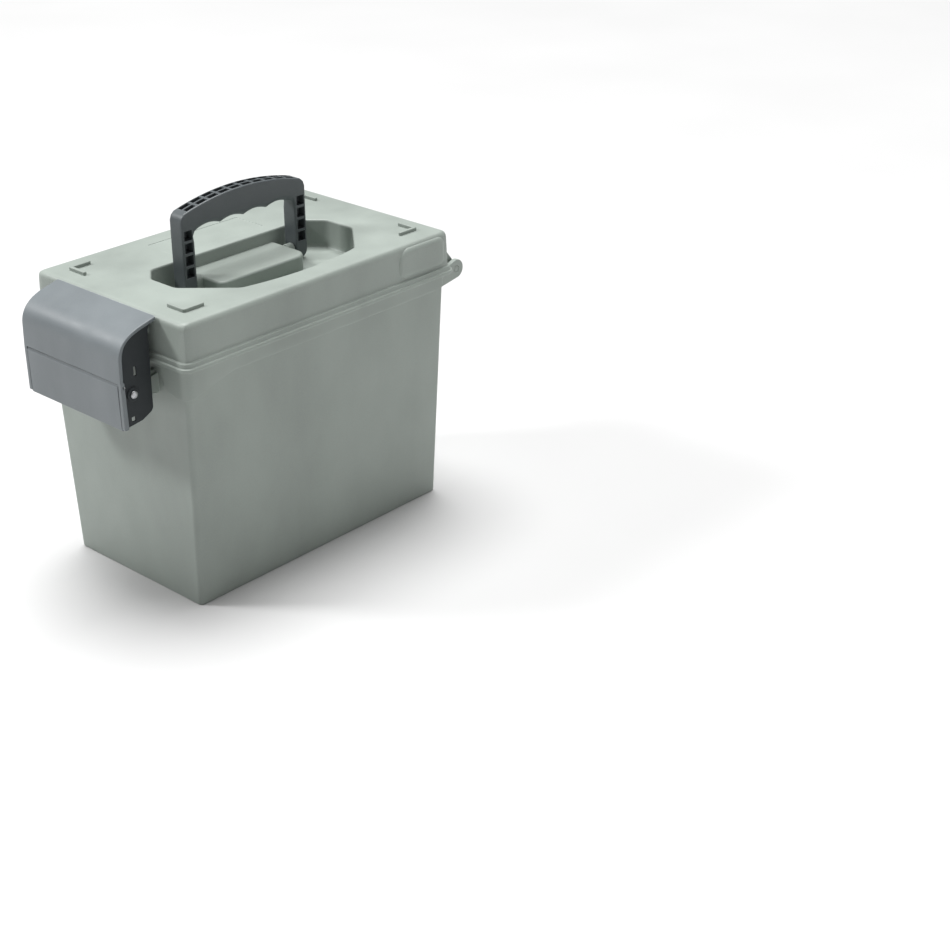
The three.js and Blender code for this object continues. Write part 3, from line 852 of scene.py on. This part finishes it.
LIP_POINTS = 3      # points on the cover's straight lip, before its curve


def cover_curve(depth):
    """The cover's outline in XZ, from its lip on the lid's edge to the crease, at a depth inside it."""
    lip = [(-148.8 - 5 * k, 252.3 - depth - 1.22 * k) for k in range(LIP_POINTS)]
    shoulder = (-164, 248.6 - depth)
    curve = bezier(
        shoulder, (-176 + depth * 0.4, 245.4 - depth), (-186 + depth, 239), (-186.6 + depth, 226), 20,
    )
    return lip + curve + [(-187.2 + depth, CREASE.z + 3.3)]


def cover_skin():
    """The curved plate, rounded along both ends."""
    outline = cover_curve(0) + cover_curve(3.2)[::-1]
    return slab(outline, -LATCH_HALF, LATCH_HALF, "Y", 0.9, 4)


CHEEK_SINK = 2.0    # the cheeks lie this deep inside the cover's rim
LATCH_PIN_HOLE_R = 2.9


def square_bore(x0, x1, z0, z1, radius, low, high):
    """A square tool along Y, from low to high."""
    corners = [(x0, z0, radius), (x1, z0, radius), (x1, z1, radius), (x0, z1, radius)]
    return slab(rounded(corners, 3), low, high, "Y", 0.1, 1)


def pin_collar(side):
    """The raised ring round the latch pin."""
    sides, top, face = 32, LATCH_HALF, LATCH_HALF - CHEEK_SINK - 0.3
    section = [(LATCH_PIN_HOLE_R, face), (LATCH_PIN_HOLE_R, top - 0.3), (3.2, top)]
    section += [(5.0, top), (5.5, top - 0.5), (5.7, face)]
    rings = []
    for radius, along in section:
        circle = []
        for k in range(sides):
            angle = math.tau * k / sides
            x, z = LATCH.x + radius * math.cos(angle), LATCH.z + radius * math.sin(angle)
            circle.append((x, side * along, z))
        rings.append(circle)
    return loft("collar", rings, closed=True)


def cheek(side):
    """The side plate that carries the pivots, with two square holes, and its collar."""
    low, high = span(side, LATCH_HALF - 3.5, LATCH_HALF - CHEEK_SINK)
    past = 2
    y0, y1 = low - past, high + past
    below = rounded([
        (-186.6, CREASE.z, 0), (-186.2, 168.8, 1.6), (-167.6, 171.2, 3), (-156.6, 176.6, 5),
        (-155.6, 243, 2), (-152.6, 248, 1), (-149.4, 249.0, 0.5),
    ], 5)
    plate = slab(cover_curve(0.8) + below, low, high, "Y", 0.4, 2)
    bores = [
        bore(LATCH_PIN_HOLE_R, low, high, LATCH.x, LATCH.z, past),
        bore(1.65, low, high, CREASE.x, CREASE.z, past, sides=20),
        square_bore(-172.5, -169.5, 209.5, 217.5, 0.6, y0, y1),
        square_bore(-178, -174, 173, 177, 0.5, y0, y1),
    ]
    return [carve(plate, *bores), pin_collar(side)]


def cover_rim(side):
    """The cover's front corner beside the flap, in line with the skin above it."""
    low, high = span(side, FLAP_HALF + 0.5, LATCH_HALF)
    outline = rounded([
        (-187.0, CREASE.z + 3.9, 0), (-187.0, CREASE.z, 0), (-186.7, 168.4, 1.2), (-182.4, 168.8, 0.8),
        (-183.2, CREASE.z + 3.9, 0),
    ], 4)
    return slab(outline, low, high, "Y", 0.5, 3)


def latch_hook():
    """The bar under the cover's lip that catches on the lid's ridge."""
    section = [(-154.5, 249.6, 0), (-154.5, 241.4, 0.6), (-149.6, 241.4, 1.4), (-149.6, 249.2, 0)]
    return slab(rounded(section, 4), -CATCH_HALF, CATCH_HALF, "Y", 0.6)


def build_cover():
    cheeks = merged("cheeks", cheek(-1) + cheek(1))
    # the cheeks take the near-black slate, which is partly darker plastic and partly painted shade
    dress(cheeks, "latch_cover_cheeks", "latch_cover", [], SLATE_DARK_PAINTED_SHADE)
    pieces = [cover_skin(), latch_hook(), cover_rim(-1), cover_rim(1)]
    rib = cover_curve(2.9)[LIP_POINTS:] + cover_curve(5.4)[LIP_POINTS:][::-1]
    for y in (-28, 0, 28):
        pieces.append(slab(rib, y - 0.9, y + 0.9, "Y", 0.3, 1))
    cover = merged("cover", pieces)
    dress(cover, "latch_cover_shell", "latch_cover", ["latch_cover"], SLATE)


def build_flap():
    """The panel below the crease: its face with a lower lip, the knuckle it turns on, and end walls."""
    face = rounded([
        (-187.2, CREASE.z, 0), (-186.6, 168.0, 0.8), (-185.2, 167.2, 0.8), (-181.5, 167.2, 0.5),
        (-181.5, 169.8, 0.5), (-183.7, 171.5, 1.5), (-184.2, CREASE.z, 0),
    ], 4)
    knuckle = turned(pin_profile(3.0, -FLAP_HALF, FLAP_HALF), CREASE.x, 0, CREASE.z)
    pieces = [slab(face, -FLAP_HALF, FLAP_HALF, "Y", 0.35), knuckle]
    wall = rounded([(-184.5, 172, 0), (-179, 172, 2), (-179, 184, 4), (-184.5, 192, 0)], 4)
    for side in (-1, 1):
        pieces.append(slab(wall, *span(side, FLAP_HALF - 3, FLAP_HALF), "Y", 0.5))
    flap = merged("flap", pieces)
    dress(flap, "latch_flap_shell", "latch_flap", ["latch_flap"], SLATE)
    for side, name in ((-1, "near"), (1, "far")):
        low, high = span(side, FLAP_HALF - 8, LATCH_HALF)
        pin = turned(pin_profile(1.3, low, high, 0.25), CREASE.x, 0, CREASE.z, sides=20)
        dress(pin, f"flap_pin_{name}_turned", "latch_cover", [f"flap_pin_{name}"], STEEL)


# ---------------------------------------------------------------- handle
ARCH_RISE = 8.5                 # how far the grip's top rises over its ends
ARCH_HALF = HANDLE_HALF - 5
SHOULDER = CROWN - ARCH_RISE


def arch_height(x):
    return SHOULDER + ARCH_RISE * (1 - (x / ARCH_HALF) ** 2)


def handle_outline():
    """The bail's outline in XZ, as points with the edge radius wanted at each."""
    inner, foot, grip_low = HANDLE_INNER, PIVOT.z - 9, 282
    plain, soft, finger = 1.2, 2.6, 4.6
    foot_middle, foot_radius = (HANDLE_HALF + inner) / 2, (HANDLE_HALF - inner) / 2
    points = []

    def add(stretch, radius):
        points.extend((u, v, radius) for u, v in stretch)

    add(arc((-foot_middle, PIVOT.z - 2.7), foot_radius, 180, 360, 14), plain)
    add([(-inner, foot + 14), (-inner, foot + 26), (-inner, 272)], plain)
    add([(-inner, 277.5), (-inner + 1.6, 280.8)], soft)
    scallops, count = 4, 8
    pitch = (2 * inner - 10) / scallops
    for i in range(scallops):
        start = -inner + 5 + i * pitch
        for k in range(count + (i == scallops - 1)):
            share = k / count
            rise = 2.5 * math.sin(math.pi * share) ** 0.9
            add([(start + pitch * share, grip_low - 0.4 + rise)], finger)
    add([(inner - 1.6, 280.8), (inner, 277.5)], soft)
    add([(inner, 272), (inner, foot + 26), (inner, foot + 14)], plain)
    add(arc((foot_middle, PIVOT.z - 2.7), foot_radius, 180, 360, 14), plain)
    add([(HANDLE_HALF, 262), (HANDLE_HALF, 278)], plain)
    crown = [
        (HANDLE_HALF, SHOULDER - 7), (HANDLE_HALF - 1.4, SHOULDER - 3), (HANDLE_HALF - 4.4, SHOULDER - 0.3),
    ]
    add(crown, plain)
    arch_x = [ARCH_HALF * (1 - k / 12) for k in range(1, 24)]
    add([(x, arch_height(x)) for x in arch_x], 1.3)
    add([(-u, v) for u, v in reversed(crown)], plain)
    add([(-HANDLE_HALF, 278), (-HANDLE_HALF, 262)], plain)
    return points


def crown_pockets():
    """Two rows of pockets along the top of the grip."""
    count, pitch, half, wide, deep = 10, 12.2, 4.9, 4.9, 7
    pockets = []
    for i in range(count):
        x = (i - (count - 1) / 2) * pitch
        floor = arch_height(x) - deep
        for y in (HANDLE_FRONT + 1.8, HANDLE_BACK - 1.8 - wide):
            pockets.append(brick(x - half, x + half, y, y + wide, floor, CROWN + 5))
    return pockets


def leg_tools(side):
    """Four pockets up the front of a leg, and the bore for its pin."""
    count, pitch, tall, deep = 4, 10.6, 8.4, 7
    first = PIVOT.z + 6.3
    low, high = span(side, HANDLE_HALF - 10.3, HANDLE_HALF - 2)
    tools = []
    for i in range(count):
        z = first + i * pitch
        tools.append(brick(low, high, HANDLE_FRONT - 1, HANDLE_FRONT + deep, z, z + tall))
    ends = span(side, HANDLE_INNER - 1, HANDLE_HALF - 1.6)
    tools.append(turned([(HANDLE_PIN_HOLE_R, t) for t in ends], 0, PIVOT.y, PIVOT.z, "X"))
    return tools


def build_handle():
    points = handle_outline()
    radii = [r for _, _, r in points]
    bail = slab([(u, v) for u, v, _ in points], HANDLE_FRONT, HANDLE_BACK, "Y", radii, 6)
    bail = carve(bail, *crown_pockets(), *leg_tools(-1), *leg_tools(1))
    dress(bail, "handle_bail", "handle", ["handle"], CHARCOAL)


# ---------------------------------------------------------------- trays and shells
PITCH_X, PITCH_Y = 25.6, 28.5
HEAD_R, RIM_R, HULL_R = 10.25, 11.2, 10.1


def grid(node):
    """Shell centres of a tray, worked out from the tray's box."""
    x0 = middle_of(node).x - MIDDLE_X
    return [(x0 + i * PITCH_X, j * PITCH_Y) for i in range(-2, 3) for j in range(-2, 3)]


def build_tray(node):
    """A hollow tray with round holes in its deck."""
    low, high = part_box(node)
    x0, x1 = low.x / MM - MIDDLE_X, high.x / MM - MIDDLE_X
    y0, y1, z0, z1 = low.y / MM, high.y / MM, low.z / MM, high.z / MM
    outline = rounded([(x0, y0, 4), (x1, y0, 4), (x1, y1, 4), (x0, y1, 4)], 5)
    wall, deck = 2.4, 3
    levels = [(z0 + deck, wall + 1), (z0 + deck, wall), (z1 - deck, wall), (z1 - deck, wall + 1)]
    hollow = loft("hollow", [[(u, v, z) for u, v in inset(outline, by)] for z, by in levels])
    hole = [(RIM_R + 0.3, z1 - 5), (RIM_R + 0.3, z1 + 1)]
    holes = [turned(hole, x, y, 0, "Z", 36) for x, y in grid(node)]
    tray = carve(slab(outline, z0, z1, "Z", 0.9), hollow)
    tray = carve(tray, *holes)
    dress(tray, f"{node}_moulded", "bucket", [node], TEAL)


def build_shells(node, tray):
    """Brass heads with a primer each, on plastic hulls with a rounded lower end."""
    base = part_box(node)[0].z / MM
    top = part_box(node)[1].z / MM
    head = [
        (HEAD_R - 0.6, top - 21), (HEAD_R, top - 20.6), (HEAD_R, top - 2.3), (HEAD_R - 0.35, top - 1.9),
        (RIM_R - 0.3, top - 1.7), (RIM_R, top - 1.4), (RIM_R, top - 0.5), (RIM_R - 0.35, top - 0.1),
        (RIM_R - 0.9, top), (4.1, top), (3.85, top - 0.25), (3.6, top - 0.28), (3.1, top - 0.1),
        (1.2, top - 0.05), (0.3, top - 0.05),
    ]
    hull = [
        (3.0, base + 1.2), (6.4, base + 0.3), (9.2, base), (HULL_R - 0.1, base + 1.6),
        (HULL_R, top - 24), (HULL_R, top - 20.8), (8.0, top - 20.8),
    ]
    heads, hulls = [], []
    for x, y in grid(tray):
        heads.append(turned(head, x, y, 0, "Z", 28))
        hulls.append(turned(hull, x, y, 0, "Z", 24))
    dress(merged("heads", heads), f"{node}_heads", "bucket", [node], BRASS)
    dress(merged("hulls", hulls), f"{node}_hulls", "bucket", [], HULL)


# ---------------------------------------------------------------- stage
def build_stage():
    """A plain pale floor."""
    size = 6.0
    mesh = bpy.data.meshes.new("floor")
    corners = [(-size, -size, 0), (size, -size, 0), (size, size, 0), (-size, size, 0)]
    mesh.from_pydata(corners, [], [(0, 1, 2, 3)])
    floor = bpy.data.objects.new("floor", mesh)
    bpy.context.scene.collection.objects.link(floor)
    graph = Graph("floor_paper")
    pale = graph.ramp(graph.noise(scale=3, detail=2), [(0.3, (0.58, 0.58, 0.58)), (0.7, (0.6, 0.6, 0.6))])
    graph.link(pale, graph.shader.inputs["Base Color"])
    graph.shader.inputs["Roughness"].default_value = 0.9
    mesh.materials.append(graph.material)


def build_camera():
    yaw, tilt = math.radians(41.6), math.radians(26.6)
    camera = bpy.data.cameras.new("camera")
    camera.lens = 68.2
    camera.sensor_width = 36
    camera.clip_end = 50
    holder = bpy.data.objects.new("camera", camera)
    holder.location = (-0.9357, -1.0899, 0.7565)
    look = Vector((math.cos(yaw) * math.cos(tilt), math.sin(yaw) * math.cos(tilt), -math.sin(tilt)))
    holder.rotation_euler = look.to_track_quat("-Z", "Y").to_euler()
    bpy.context.scene.collection.objects.link(holder)
    bpy.context.scene.camera = holder


def aimed_light(name, kind, spot, aim, energy):
    """A light at spot that shines towards aim. Returns its data, so that its size can be set."""
    light = bpy.data.lights.new(name, kind)
    light.energy = energy
    holder = bpy.data.objects.new(name, light)
    holder.location = spot
    holder.rotation_euler = (Vector(aim) - Vector(spot)).to_track_quat("-Z", "Y").to_euler()
    bpy.context.scene.collection.objects.link(holder)
    return light


def area_light(name, spot, size, power):
    light = aimed_light(name, "AREA", spot, (0, 0, 0.13), power)
    light.shape = "RECTANGLE"
    light.size, light.size_y = size


def build_world():
    """A pale backdrop that gives the object only a little light."""
    glow, backdrop = 0.1, 0.85
    world = bpy.data.worlds.new("studio")
    world.use_nodes = True
    tree = world.node_tree
    background = tree.nodes["Background"]
    background.inputs["Color"].default_value = (1, 1, 1, 1)
    path = tree.nodes.new("ShaderNodeLightPath")
    strength = tree.nodes.new("ShaderNodeMapRange")
    strength.inputs["To Min"].default_value = glow
    strength.inputs["To Max"].default_value = backdrop
    tree.links.new(path.outputs["Is Camera Ray"], strength.inputs["Value"])
    tree.links.new(strength.outputs["Result"], background.inputs["Strength"])
    bpy.context.scene.world = world
    bpy.context.scene.view_settings.view_transform = "Standard"


def build_lights():
    sky = aimed_light("sky_light", "SUN", (0, 0, 0), (-0.25, -0.3, -1.9), 4.6)
    sky.angle = math.radians(40)
    area_light("left_light", (-1.3, 1.3, 1.65), (0.4, 0.4), 31)
    area_light("front_light", (0.6, -2.2, 0.8), (1.2, 1.0), 6.5)


build_camera()
build_bucket()
build_lid()
build_seal()
build_cover()
build_flap()
build_handle()
for layer in ("upper", "lower"):
    for end in ("latch_end", "hinge_end"):
        tray_node = f"{layer}_tray_{end}"
        build_tray(tray_node)
        build_shells(f"{layer}_rounds_{end}", tray_node)
build_stage()
build_world()
build_lights()
